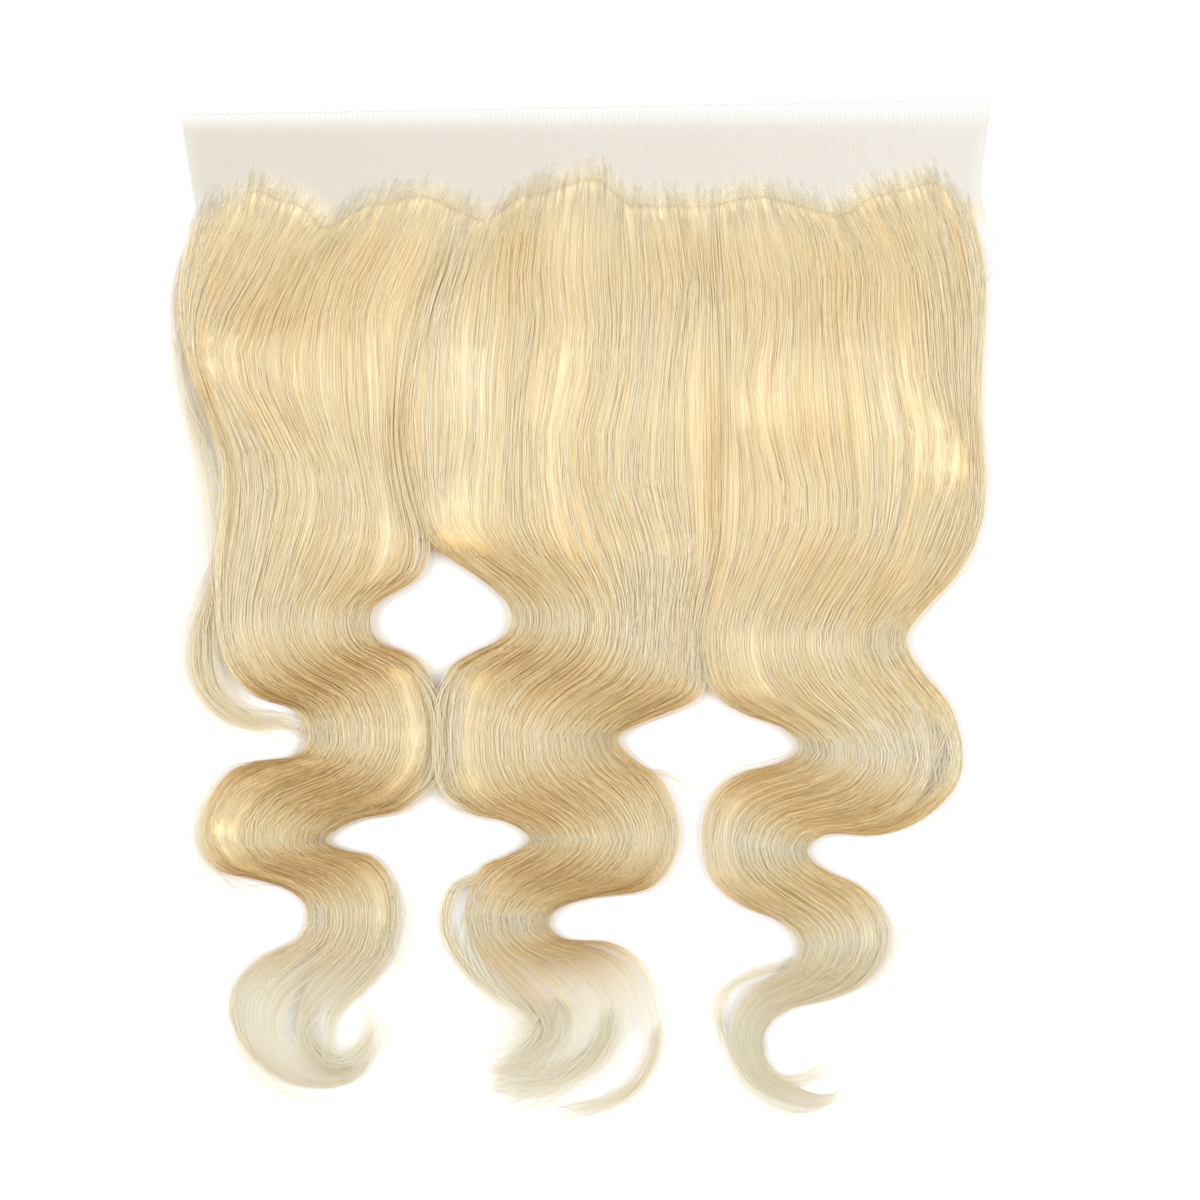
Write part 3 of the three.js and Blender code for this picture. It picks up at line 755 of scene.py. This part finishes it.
def comb(rows, random, seed, count, start_low, start_high, slits, ash_rows):
    """Loose hairs that follow a lock from the hairline to its end, gathered in tresses."""
    last_row = len(rows) - 1
    settled_row = smooth_rows(rows, np.array([SETTLED_ROW]))[0]
    start = random.uniform(start_low, start_high, count)
    settled = np.interp(start, FAN[:, 0], FAN[:, 1])
    u0 = (settled - settled_row[0]) / (settled_row[2] - settled_row[0])
    deep = random.random(count) < DEEP_SHARE
    first = np.where(deep, random.uniform(0.2, 4.5, count), random.uniform(0, 0.3, count))
    last = last_row * (1 - 0.48 * random.beta(1.15, 1.5, count))
    tress_centre = (np.arange(TRESSES) + random.uniform(-0.1, 1.1, TRESSES)) / TRESSES
    tress_phase = random.uniform(0, 2 * np.pi, TRESSES)
    tress_tone = random.normal(0, 0.022, TRESSES)
    step = np.where(side_room(u0) < EDGE_SHARE, EDGE_STEP, HAIR_STEP)
    steps = [
        np.concatenate([np.arange(root, tip - stride / 2, stride), [tip]])
        for root, tip, stride in zip(first, last, step)
    ]
    counts = np.array([len(one_hair) for one_hair in steps])
    owner = np.repeat(np.arange(count), counts)
    at = np.concatenate(steps)
    end_of = np.cumsum(counts) - 1
    start_of = end_of + 1 - counts
    progress = at / last_row
    u = u0[owner]
    tress = np.abs(u0[:, None] - tress_centre[None, :]).argmin(axis=1)
    aim = tress_centre[tress][owner] + 0.02 * np.sin(at * 0.35 + tress_phase[tress][owner])
    pull = 0.07 + 0.5 * soft_step((progress - 0.7) / 0.2) * (1 - 0.4 * soft_step((progress - 0.9) / 0.1))
    u = u + (aim - u) * pull
    stray = random.random(count) < RESTLESS_SHARE
    restless = 0.005 + random.exponential(0.004, count) + np.where(stray, 0.026, 0)
    u = u + restless[owner] * (0.6 + 2.2 * progress) * drift(random, count, owner, at, 0.5, 1.7)
    u = 0.5 + (u - 0.5) * 1.02
    beyond = 0.025 + 0.045 * (1 - soft_step((at - 4) / 3)) + 0.09 * stray[owner]
    u = np.clip(u, -beyond, 1 + beyond)
    line = lay_on_lock(rows, u, at)
    depth = random.uniform(-0.0006, 0.0006, count)
    depth = np.where(deep, -0.0005, depth)
    body = line[:, 2] - SEAT
    line[:, 2] += depth[owner] * np.minimum(1, body / 0.003)
    line[:, 2] -= TRESS_GROOVE * 0.6 * body * (1 - tress_height(u, at, seed))
    line[:, 2] += 0.0002 * drift(random, count, owner, at, 0.6, 1.6) + 0.0006 * stray[owner]
    line = eased(line, start_of, end_of)
    for route, gap, reach in slits:
        open_slit(line, route, gap, reach)
    jitter = random.uniform(*ROOT_JITTER, count)
    line[:, 1] += jitter[owner] * np.clip(1 - at / 2.0, 0, 1) ** 2
    from_root = at - first[owner]
    rise = np.minimum(1, 0.03 + risen(at, 0.25))
    line[:, 2] = LOW_ON_LACE + (line[:, 2] - LOW_ON_LACE) * rise
    sunk = np.where(deep[owner], DEEP_START, 0) * np.clip(1 - from_root / 1.2, 0, 1) ** 2
    lowest = np.where(at < LACE_ROWS, LOW_ON_LACE, LOW_ON_TABLE)
    line[:, 2] = np.maximum(line[:, 2] - sunk, lowest)
    to_end = last[owner] - at
    width = random.uniform(*HAIR_WIDTHS, count)[owner]
    width = width * (0.6 + 0.4 * np.clip(from_root / 1.2, 0, 1))
    width = width * (0.25 + 0.75 * np.clip(to_end / 9, 0, 1))
    run = np.gradient(line, axis=0)
    run /= np.linalg.norm(run, axis=1, keepdims=True)
    individual = random.normal(0, 0.06, count)
    # hairs that lie deeper get painted shade, hairs that lie higher painted light
    tone = HAIR_TONE + individual + tress_tone[tress] + 150 * depth
    tone = tone + np.where(random.random(count) < 0.08, random.uniform(-0.2, 0.2, count), 0)
    tone = tone[owner] + 0.05 * drift(random, count, owner, at, 0.6, 1.5)
    # painted sheen and shade from the run of the hair, and painted patches of light and shade
    tone = tone + painted_sheen(run) + painted_patch_tone(line)
    # painted light near the roots, against the shade of the hairs lying on the lace
    tone = tone + 0.10 * (1 - soft_step(at / 1.2))
    tone = tone + 0.6 * (individual[owner] + 0.1) * soft_step((at - ash_rows[0]) / 3)
    tone = np.clip(tone, 0.05, 1)
    ash = soft_step((at - ash_rows[0]) / (ash_rows[1] - ash_rows[0]))
    ash = ash * random.uniform(0.5, 0.9, count)[owner]
    ash = np.maximum(ash, 0.12 * (1 - soft_step(at / 1.2)))
    cuts = start_of[1:]
    return [np.split(values, cuts) for values in (line, width, tone, ash)]


left_random = np.random.default_rng(21)
LEFT_SLITS = (
    (np.array([(0.155, 0.855), (0.141, 0.9), (0.146, 0.945)]), 0.006, 0.012),
    (np.array([(0.178, 0.875), (0.170, 0.91), (0.182, 0.94)]), 0.006, 0.010),
)
for part, count in (("left_hair_under", 530), ("left_hair_over", 530)):
    hair_piece(part, *comb(LEFT_LOCK, left_random, 11, count, 0.024, 0.352, LEFT_SLITS, LEFT_ASH))

# Middle lock
# The middle third of the hair, widest at the hairline, where it lies against both its neighbours. It is
# loose hair like the left lock, tied to the lace in the same way, with a strip swept out at its end.
MIDDLE_LOCK = np.array([
    (0.338, 0.005, 0.653, 0.002, 0.1, 1, 1),
    (0.318, 0.07, 0.657, 0.07, 0.45, 1, 1),
    (0.299, 0.125, 0.661, 0.125, 0.7, 0.9, 0.9),
    (0.276, 0.224, 0.665, 0.224, 0.95, 0.65, 0.7),
    (0.283, 0.3, 0.665, 0.311, 1, 0.45, 0.5),
    (0.304, 0.376, 0.663, 0.376, 0.95, 0.3, 0.4),
    (0.359, 0.411, 0.652, 0.42, 0.85, 0.2, 0.4),
    (0.401, 0.442, 0.643, 0.45, 0.85, 0.2, 0.4),
    (0.408, 0.465, 0.639, 0.48, 0.85, 0.2, 0.3),
    (0.395, 0.485, 0.639, 0.513, 0.8, 0.2, 0.25),
    (0.353, 0.502, 0.634, 0.545, 0.75, 0.2, 0.2),
    (0.325, 0.523, 0.584, 0.566, 0.8, 0.2, 0.2),
    (0.319, 0.578, 0.532, 0.589, 0.85, 0.2, 0.2),
    (0.322, 0.643, 0.556, 0.618, 0.75, 0.2, 0.2),
    (0.353, 0.672, 0.585, 0.636, 0.65, 0.2, 0.2),
    (0.401, 0.682, 0.605, 0.668, 0.65, 0.2, 0.2),
    (0.432, 0.701, 0.609, 0.703, 0.65, 0.2, 0.2),
    (0.408, 0.718, 0.597, 0.734, 0.55, 0.2, 0.2),
    (0.375, 0.73, 0.566, 0.758, 0.5, 0.2, 0.2),
    (0.36, 0.752, 0.493, 0.766, 0.5, 0.2, 0.2),
    (0.352, 0.785, 0.453, 0.785, 0.5, 0.2, 0.2),
    (0.365, 0.82, 0.468, 0.812, 0.4, 0.2, 0.2),
    (0.395, 0.855, 0.529, 0.815, 0.35, 0.2, 0.2),
    (0.428, 0.889, 0.572, 0.843, 0.3, 0.2, 0.2),
    (0.44, 0.912, 0.59, 0.889, 0.24, 0.2, 0.2),
    (0.425, 0.928, 0.588, 0.932, 0.2, 0.2, 0.2),
    (0.397, 0.941, 0.56, 0.972, 0.16, 0.2, 0.2),
    (0.378, 0.955, 0.51, 0.995, 0.12, 0.2, 0.2),
    (0.372, 0.975, 0.462, 1.0, 0.06, 0.2, 0.2),
])


def middle_reach(at):
    """The middle lock's bulk meets both its neighbours."""
    return -0.09 * (1 - soft_step((at - 4) / 2)), 1 + 0.09 * (1 - soft_step((at - 6) / 3))


MIDDLE_ASH = (21.0, 24.5)
middle_bulk = bulk_of("middle_bulk", MIDDLE_LOCK, 22.0, 12, middle_reach, MIDDLE_ASH)
middle_bulk.data.materials.append(bulk_finish)
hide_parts("middle_lock")
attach(middle_bulk, "root")
middle_random = np.random.default_rng(22)
MIDDLE_SLITS = (
    (np.array([(0.560, 0.890), (0.556, 0.93), (0.526, 0.965), (0.480, 0.985)]), 0.009, 0.018),
)
for part, count in (("middle_hair_under", 600), ("middle_hair_over", 600)):
    hair_piece(part, *comb(MIDDLE_LOCK, middle_random, 12, count, 0.343, 0.662, MIDDLE_SLITS, MIDDLE_ASH))

# Right lock
# The right third of the hair, tied to the lace in the same way. It lies over the edge of the middle lock,
# splits at its outermost strand, and curls round at its tip.
RIGHT_LOCK = np.array([
    (0.653, 0.002, 0.961, 0.013, 0.1, 1, 0.8),
    (0.657, 0.07, 0.98, 0.065, 0.45, 1, 0.3),
    (0.661, 0.125, 0.985, 0.12, 0.7, 0.9, 0.25),
    (0.665, 0.224, 0.978, 0.224, 0.95, 0.7, 0.2),
    (0.665, 0.311, 0.984, 0.322, 1, 0.55, 0.2),
    (0.663, 0.376, 0.973, 0.376, 1, 0.45, 0.2),
    (0.652, 0.42, 0.943, 0.42, 0.95, 0.45, 0.2),
    (0.641, 0.458, 0.899, 0.461, 0.9, 0.4, 0.2),
    (0.639, 0.496, 0.886, 0.49, 0.95, 0.3, 0.2),
    (0.651, 0.54, 0.912, 0.527, 0.85, 0.2, 0.2),
    (0.693, 0.566, 0.94, 0.557, 0.75, 0.2, 0.2),
    (0.742, 0.581, 0.951, 0.6, 0.8, 0.2, 0.2),
    (0.76, 0.603, 0.943, 0.643, 0.8, 0.2, 0.2),
    (0.736, 0.62, 0.9, 0.682, 0.7, 0.2, 0.2),
    (0.687, 0.631, 0.845, 0.697, 0.65, 0.2, 0.2),
    (0.653, 0.656, 0.791, 0.694, 0.65, 0.2, 0.2),
    (0.641, 0.698, 0.766, 0.714, 0.65, 0.2, 0.2),
    (0.651, 0.743, 0.787, 0.736, 0.55, 0.2, 0.2),
    (0.693, 0.775, 0.833, 0.754, 0.5, 0.2, 0.2),
    (0.738, 0.791, 0.86, 0.782, 0.5, 0.2, 0.2),
    (0.76, 0.818, 0.866, 0.815, 0.45, 0.2, 0.2),
    (0.742, 0.845, 0.843, 0.856, 0.35, 0.2, 0.2),
    (0.7, 0.862, 0.791, 0.878, 0.3, 0.2, 0.2),
    (0.679, 0.889, 0.738, 0.889, 0.25, 0.2, 0.2),
    (0.674, 0.921, 0.714, 0.921, 0.2, 0.2, 0.2),
    (0.693, 0.963, 0.727, 0.953, 0.15, 0.2, 0.2),
    (0.742, 0.991, 0.76, 0.974, 0.1, 0.2, 0.2),
    (0.791, 0.995, 0.797, 0.982, 0.08, 0.2, 0.2),
    (0.821, 0.976, 0.815, 0.969, 0.06, 0.2, 0.2),
])


def right_reach(at):
    """The right lock's bulk keeps clear of the slit inside its outermost strand."""
    slit = soft_step((at - 8.5) / 1.5) * (1 - soft_step((at - 13.5) / 1.5))
    return -0.09 * (1 - soft_step((at - 6) / 3)), 1 - 0.19 * slit


RIGHT_ASH = (17.5, 23.5)
right_bulk = bulk_of("right_bulk", RIGHT_LOCK, 22.8, 13, right_reach, RIGHT_ASH)
right_bulk.data.materials.append(bulk_finish)
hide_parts("right_lock")
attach(right_bulk, "root")
right_random = np.random.default_rng(23)
RIGHT_SLITS = (
    (np.array([(0.905, 0.560), (0.931, 0.6), (0.928, 0.635), (0.896, 0.665)]), 0.0075, 0.012),
)
for part, count in (("right_hair_under", 575), ("right_hair_over", 575)):
    hair_piece(part, *comb(RIGHT_LOCK, right_random, 13, count, 0.653, 0.965, RIGHT_SLITS, RIGHT_ASH))

# Wisps
# Thin bundles and single hairs that have come away from the locks: the tendril at the left, the loop of
# the middle lock, the frayed ends, and short new hairs along the hairline.
# Each wisp has its route, in shares across and down, how many hairs, how far they spread, how much they
# frizz, their shade, how ashen they are, and how many times the usual height they lie at.
WISPS = (
    # tendril beside the left lock
    ([(0.082, 0.365), (0.052, 0.42), (0.032, 0.463), (0.026, 0.496), (0.031, 0.53), (0.05, 0.556),
      (0.08, 0.57), (0.134, 0.574), (0.175, 0.592)], 70, 0.0020, 0.0008, 0.62, 0.5, 1),
    ([(0.075, 0.375), (0.052, 0.43), (0.045, 0.48), (0.052, 0.53), (0.085, 0.565), (0.13, 0.58)],
     60, 0.0026, 0.0010, 0.66, 0.5, 1),
    ([(0.06, 0.38), (0.028, 0.44), (0.012, 0.49), (0.022, 0.54), (0.06, 0.575)],
     14, 0.0022, 0.0018, 0.5, 0.7, 1),
    # thin, darker hair under the left edge, partly painted shade for the shadow beside it
    ([(0.020, 0.05), (0.006, 0.10), (0.005, 0.16), (0.018, 0.225), (0.042, 0.275), (0.06, 0.32)],
     40, 0.0032, 0.0014, 0.42, 0.8, 1),
    ([(0.018, 0.20), (0.030, 0.27), (0.048, 0.34), (0.050, 0.40), (0.036, 0.45)],
     36, 0.0030, 0.0020, 0.6, 0.6, 1),
    # pale hairs where the left and the middle lock touch
    ([(0.262, 0.503), (0.292, 0.522), (0.314, 0.550), (0.3195, 0.585), (0.317, 0.625), (0.298, 0.648),
      (0.262, 0.662)], 84, 0.0018, 0.0006, 0.82, 0.2, 2.6),
    ([(0.378, 0.512), (0.346, 0.520), (0.325, 0.545), (0.3195, 0.590), (0.324, 0.640), (0.350, 0.662),
      (0.392, 0.675)], 84, 0.0018, 0.0006, 0.80, 0.2, 2.6),
    # loop of the middle lock
    ([(0.42, 0.735), (0.375, 0.742), (0.34, 0.755), (0.327, 0.793), (0.345, 0.833), (0.39, 0.87),
      (0.45, 0.895)], 60, 0.0013, 0.0006, 0.62, 0.75, 1),
    ([(0.41, 0.75), (0.365, 0.785), (0.358, 0.82), (0.385, 0.866), (0.43, 0.905), (0.47, 0.925)],
     36, 0.0030, 0.0014, 0.65, 0.85, 1),
    # frayed end of the middle lock
    ([(0.47, 0.875), (0.455, 0.915), (0.42, 0.95), (0.39, 0.972)], 110, 0.0075, 0.0022, 0.6, 0.95, 1),
    ([(0.53, 0.885), (0.52, 0.925), (0.48, 0.955), (0.42, 0.972), (0.375, 0.975)],
     70, 0.0045, 0.0022, 0.6, 0.95, 1),
    ([(0.59, 0.90), (0.575, 0.955), (0.53, 0.99), (0.46, 1.0)], 40, 0.0016, 0.0010, 0.62, 0.9, 1),
    # curl at the end of the left lock
    ([(0.16, 0.86), (0.155, 0.91), (0.185, 0.945), (0.225, 0.935), (0.24, 0.905), (0.222, 0.88)],
     60, 0.0042, 0.0018, 0.62, 0.95, 1),
    ([(0.07, 0.90), (0.095, 0.95), (0.14, 0.982), (0.20, 0.985)], 14, 0.0022, 0.0018, 0.5, 0.9, 1),
    # branch and curl at the end of the right lock
    ([(0.76, 0.835), (0.70, 0.85), (0.668, 0.87), (0.661, 0.895), (0.667, 0.925)],
     30, 0.0018, 0.0012, 0.45, 0.9, 1),
    ([(0.715, 0.915), (0.715, 0.945), (0.738, 0.965), (0.775, 0.96), (0.80, 0.945)],
     34, 0.0018, 0.0010, 0.6, 0.9, 1),
    ([(0.66, 0.885), (0.672, 0.93), (0.705, 0.975), (0.76, 1.0), (0.81, 0.985)],
     22, 0.0022, 0.0012, 0.6, 0.9, 1),
    ([(0.845, 0.765), (0.868, 0.80), (0.862, 0.84), (0.832, 0.872)], 20, 0.0028, 0.0018, 0.6, 0.7, 1),
    # strays between the middle and the right lock
    ([(0.545, 0.562), (0.523, 0.585), (0.53, 0.61), (0.565, 0.625), (0.602, 0.63), (0.632, 0.65),
      (0.645, 0.668)], 9, 0.0007, 0.0008, 0.5, 0.4, 1),
    ([(0.565, 0.565), (0.537, 0.578), (0.523, 0.594), (0.530, 0.615), (0.555, 0.628)],
     34, 0.0010, 0.0005, 0.7, 0.4, 1),
    # frizz beside the left and the middle lock
    ([(0.20, 0.535), (0.18, 0.575), (0.17, 0.60), (0.185, 0.63)], 26, 0.0050, 0.0035, 0.5, 0.6, 1),
    ([(0.05, 0.66), (0.035, 0.70), (0.06, 0.745), (0.12, 0.765)], 24, 0.0034, 0.0028, 0.5, 0.7, 1),
    ([(0.26, 0.75), (0.275, 0.79), (0.265, 0.84), (0.24, 0.885)], 26, 0.0034, 0.0026, 0.5, 0.8, 1),
)
WISP_STEP = 0.006
WISP_HEIGHT = (0.0006, 0.0032)
WISP_WIDTHS = (0.00012, 0.00024)


def wisp(random, route, count, spread, frizz, tone, ash, height):
    """Loose hairs along a route, spread to its sides."""
    route = np.array(route)
    path = on_table(smooth_rows(route, np.linspace(0, len(route) - 1, 200)))
    length = np.linalg.norm(np.diff(path, axis=0), axis=1).sum()
    points = max(8, int(length / WISP_STEP))
    thickness = 0.45 + 0.55 * np.sin(np.pi * np.linspace(0.1, 0.95, points))
    hairs = []
    for _ in range(count):
        share = np.linspace(random.uniform(0, 0.14), 1 - 0.35 * random.beta(0.8, 1.5), points)
        place = on_table(smooth_rows(route, share * (len(route) - 1)))
        ahead = np.gradient(place, axis=0)
        ahead /= np.linalg.norm(ahead, axis=1, keepdims=True)
        beat = random.uniform(4, 14)
        wander = frizz * np.sin(beat * share + random.uniform(0, 6.3)) * (0.4 + share)
        aside = random.normal(0, spread) * (0.55 + 0.75 * share) + wander
        place = place + np.stack([ahead[:, 1], -ahead[:, 0]], axis=-1) * aside[:, None]
        arch = 0.35 + 0.65 * np.sin(np.pi * np.clip(share, 0, 1))
        lift = height * random.uniform(*WISP_HEIGHT) * arch
        hairs.append((
            np.column_stack([place, lift + 0.0003]),
            random.uniform(*WISP_WIDTHS) * thickness,
            np.full(points, np.clip(random.normal(tone, 0.08), 0, 1)),
            np.full(points, ash * random.uniform(0.75, 1)),
        ))
    return hairs


wisp_random = np.random.default_rng(31)
wisps = [hair for description in WISPS for hair in wisp(wisp_random, *description)]
hair_piece("wisps", *zip(*wisps))

NEW_HAIRS = 620
NEW_HAIR_LENGTHS = (0.008, 0.022)
NEW_HAIR_WIDTHS = (0.00008, 0.00017)
NEW_HAIR_POINTS = 7
HAIRLINE_SPAN = (0.022, 0.966)  # shares across between which hair grows
new_random = np.random.default_rng(32)
new_hairs = []
for _ in range(NEW_HAIRS):
    start = new_random.uniform(*HAIRLINE_SPAN)
    lean = np.interp(start, FAN[:, 0], FAN[:, 1]) - start
    root_down = float(hairline_down(np.array([start]))[0]) + new_random.normal(0.006, 0.011)
    length = new_random.uniform(*NEW_HAIR_LENGTHS)
    share = np.linspace(0, 1, NEW_HAIR_POINTS)
    aside = lean * LACE_WIDTH * 0.9 + new_random.normal(0, 0.0012)
    x = (start - 0.5) * LACE_WIDTH + aside * share * length / 0.03
    y = HAIRLINE_Y - root_down * HAIR_DROP - length * share
    z = LACE_TOP + 0.0016 * share * new_random.uniform(0.3, 1.2)
    new_hairs.append((
        np.column_stack([x, y, z]),
        new_random.uniform(*NEW_HAIR_WIDTHS) * (0.4 + 0.6 * share),
        np.full(NEW_HAIR_POINTS, new_random.uniform(0.75, 0.95)),
        0.4 - 0.3 * share,
    ))
hair_piece("new_hairs", *zip(*new_hairs))

# Stage
# A plain white table, soft lamps at both sides of it, and the camera straight above.
CAMERA_LENS = 85
CAMERA_AT = (0.0058, -0.1358, 1.175)
LAMP_AT = (1.0, -0.1, 0.9)
LAMP_SIZE = (1.1, 0.7)
LAMP_TURN = 48  # degrees, down towards the table
LAMP_POWER = 10
SKY = 0.69
TABLE_SIZE = 6
TABLE_SHADE = (0.93, 0.93, 0.93)

bpy.ops.mesh.primitive_plane_add(size=TABLE_SIZE, location=(0, 0, 0))
floor = bpy.context.object
floor.name = "floor"
floor_finish = bpy.data.materials.new("white table")
floor_finish.use_nodes = True
shader = floor_finish.node_tree.nodes["Principled BSDF"]
shader.inputs["Base Color"].default_value = (*TABLE_SHADE, 1)
shader.inputs["Roughness"].default_value = 0.9
floor.data.materials.append(floor_finish)

for side in (-1, 1):
    bpy.ops.object.light_add(type="AREA", location=(side * LAMP_AT[0], *LAMP_AT[1:]))
    lamp = bpy.context.object
    lamp.name = "left lamp" if side < 0 else "right lamp"
    lamp.data.shape = "RECTANGLE"
    lamp.data.size = LAMP_SIZE[0]
    lamp.data.size_y = LAMP_SIZE[1]
    lamp.data.energy = LAMP_POWER
    lamp.rotation_euler = (0, side * math.radians(LAMP_TURN), 0)

sky = bpy.data.worlds.new("studio")
sky.use_nodes = True
sky.node_tree.nodes["Background"].inputs["Color"].default_value = (1, 1, 1, 1)
sky.node_tree.nodes["Background"].inputs["Strength"].default_value = SKY
bpy.context.scene.world = sky
bpy.context.scene.view_settings.view_transform = "Standard"

bpy.ops.object.camera_add(location=CAMERA_AT, rotation=(0, 0, 0))
camera = bpy.context.object
camera.data.lens = CAMERA_LENS
bpy.context.scene.camera = camera
